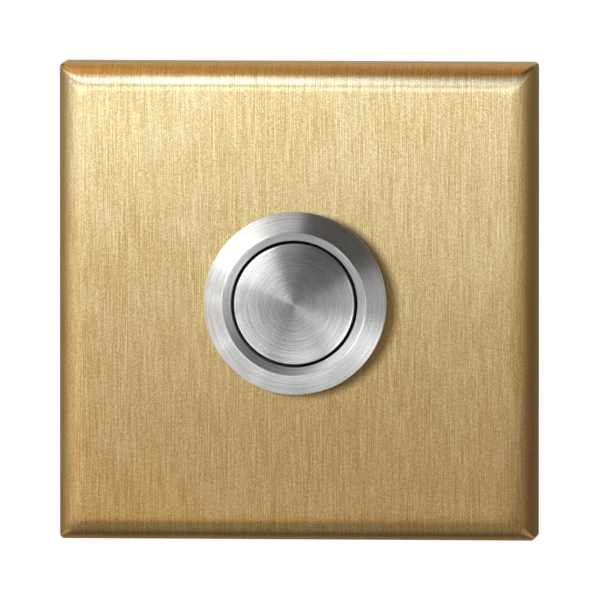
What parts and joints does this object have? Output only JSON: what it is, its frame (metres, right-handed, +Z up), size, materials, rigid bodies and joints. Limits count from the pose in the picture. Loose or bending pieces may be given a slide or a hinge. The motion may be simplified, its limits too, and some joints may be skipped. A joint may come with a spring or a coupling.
{
  "type": "doorbell push button",
  "caption": "Square satin brass doorbell rose with rounded front edges and a round bevelled stainless push button, sprung, with a screw-terminal switch behind.",
  "frame": {"origin": "centre of the rose's back, on the wall face", "axes": "+Y into the wall, the front faces -Y, +Z up, +X to the right seen from the front"},
  "size_m": [0.05, 0.0259, 0.05],
  "materials": {
    "satin_brass": "satin, brushed upright",
    "turned_stainless": "fine turned, concentric lines",
    "zinc_steel": "zinc plated sheet",
    "black_steel": "blackened",
    "nickel": "nickel plated",
    "spring_steel": "drawn wire and strip",
    "seal_rubber": "matt",
    "natural_nylon": "moulded",
    "black_plastic": "moulded, fine grain",
    "strip_brass": "stamped strip",
    "contact_silver": "pressed rivet"
  },
  "bodies": {
    "housing": {"rose_cover": "satin_brass", "wall_plate": "zinc_steel", "grub_screw": "black_steel", "button_bezel": "turned_stainless", "flange_seal": "seal_rubber", "lock_washer": "spring_steel", "lock_nut": "nickel", "return_spring": "spring_steel", "terminal_tips": "contact_silver", "terminal_left": "strip_brass", "terminal_right": "strip_brass", "contact_base": "black_plastic", "clamp_washers": "nickel", "terminal_screws": "nickel"},
    "push": {"button_cap": "turned_stainless", "cap_seal": "seal_rubber", "stem_clip": "spring_steel", "plunger": "natural_nylon", "contact_spring": "spring_steel", "contact_bridge": "strip_brass", "bridge_tips": "contact_silver"}
  },
  "joints": [
    {"name": "button_press", "type": "slide", "parent": "housing", "child": "push", "axis": [0, 1, 0], "range_m": [0, 0.0015], "stiffness_N_per_m": 900, "springref_m": -0.0005, "deforming": ["return_spring"]}
  ]
}
